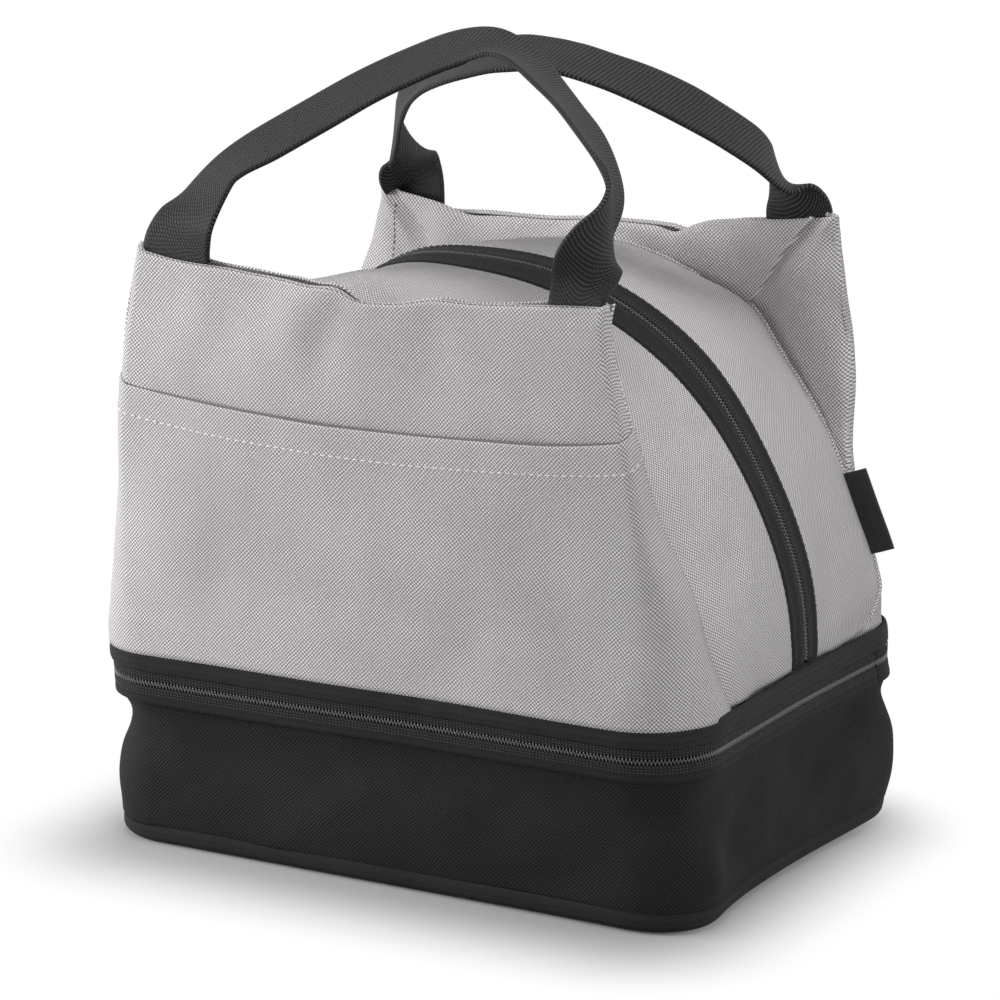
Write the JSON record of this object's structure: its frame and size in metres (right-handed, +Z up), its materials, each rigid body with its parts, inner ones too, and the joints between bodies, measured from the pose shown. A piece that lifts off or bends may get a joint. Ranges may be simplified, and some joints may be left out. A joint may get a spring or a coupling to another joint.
{
  "type": "insulated lunch bag",
  "caption": "Two-compartment insulated lunch bag: zipped base box, domed upper part that zips over the top, front slip pocket and two webbing handles.",
  "frame": {"origin": "centre of the underside, on the surface that the bag stands on", "axes": "+X to the bag's right seen from the front, +Y to the rear, +Z up"},
  "size_m": [0.246, 0.1788, 0.2946],
  "materials": {
    "grey_oxford": "warm light grey 600D polyester oxford cloth, plain basket weave, matt",
    "black_oxford": "black 600D polyester oxford cloth, matt",
    "zip_tape": "near-black woven polyester zip tape",
    "zip_coil": "black nylon monofilament coil, satin",
    "webbing": "black 25 mm ribbed polypropylene webbing",
    "foam": "white closed-cell polyethylene foam",
    "lining": "silver-grey heat-welded film lining, satin",
    "slider_metal": "black-lacquered zinc",
    "label": "black woven tag, bare"
  },
  "bodies": {
    "base": {"base_bottom": "black_oxford", "base_wall": "black_oxford", "base_foam_floor": "foam", "base_foam_wall": "foam", "base_lining": "lining", "rear_hinge_strip": "black_oxford", "base_zip_tape": "zip_tape", "base_zip_coil": "zip_coil"},
    "upper_body": {"border_band": "black_oxford", "divider_underside": "black_oxford", "divider_foam": "foam", "divider_lining": "lining", "upper_hinge_strip": "black_oxford", "upper_zip_tape": "zip_tape", "upper_zip_coil": "zip_coil"},
    "front_half": {"front_panel": "grey_oxford", "front_facing": "grey_oxford", "front_gusset": "grey_oxford", "front_foam_panel": "foam", "front_foam_gusset": "foam", "front_lining_panel": "lining", "front_lining_gusset": "lining", "front_dome_tape": "zip_tape", "front_dome_coil": "zip_coil", "front_handle_end_left": "webbing", "front_handle_end_right": "webbing", "front_pocket": "grey_oxford"},
    "rear_half": {"rear_panel": "grey_oxford", "rear_facing": "grey_oxford", "rear_gusset": "grey_oxford", "rear_foam_panel": "foam", "rear_foam_gusset": "foam", "rear_lining_panel": "lining", "rear_lining_gusset": "lining", "rear_dome_tape": "zip_tape", "rear_dome_coil": "zip_coil", "rear_handle_end_left": "webbing", "rear_handle_end_right": "webbing", "side_label": "label"},
    "front_handle": {"front_handle": "webbing"},
    "rear_handle": {"rear_handle": "webbing"},
    "dome_slider": {"dome_slider": "slider_metal"},
    "dome_puller": {"dome_puller": "slider_metal"},
    "base_slider": {"base_slider": "slider_metal"},
    "base_puller": {"base_puller": "slider_metal"}
  },
  "joints": [
    {"name": "lid_hinge", "type": "hinge", "parent": "base", "child": "upper_body", "pos_m": [0, 0.0885, 0.06], "axis": [-1, 0, 0], "range_deg": [0, 72]},
    {"name": "front_fold", "type": "hinge", "parent": "upper_body", "child": "front_half", "pos_m": [0, -0.0885, 0.072], "axis": [1, 0, 0], "range_deg": [0, 15]},
    {"name": "rear_fold", "type": "hinge", "parent": "upper_body", "child": "rear_half", "pos_m": [0, 0.0885, 0.072], "axis": [-1, 0, 0], "range_deg": [0, 15]},
    {"name": "front_handle_swing", "type": "hinge", "parent": "front_half", "child": "front_handle", "pos_m": [0, -0.0823, 0.21545], "axis": [1, 0, 0], "range_deg": [0, 90]},
    {"name": "rear_handle_swing", "type": "hinge", "parent": "rear_half", "child": "rear_handle", "pos_m": [0, 0.0823, 0.21545], "axis": [-1, 0, 0], "range_deg": [0, 90]},
    {"name": "dome_zip_travel", "type": "hinge", "parent": "upper_body", "child": "dome_slider", "pos_m": [0, 0.00734, 0.088], "axis": [0, 0.9969, 0.0785], "range_deg": [0, 183.86]},
    {"name": "dome_puller_swing", "type": "hinge", "parent": "dome_slider", "child": "dome_puller", "pos_m": [-0.12178, 0.00766, 0.0839], "axis": [0, 0.9969, 0.0785], "range_deg": [0, 175]},
    {"name": "base_zip_travel", "type": "slide", "parent": "base", "child": "base_slider", "axis": [0, -1, 0], "range_m": [0, 0.096]},
    {"name": "base_puller_swing", "type": "hinge", "parent": "base_slider", "child": "base_puller", "pos_m": [-0.12185, 0.048, 0.06], "axis": [0, 0, 1], "range_deg": [0, 175]}
  ]
}
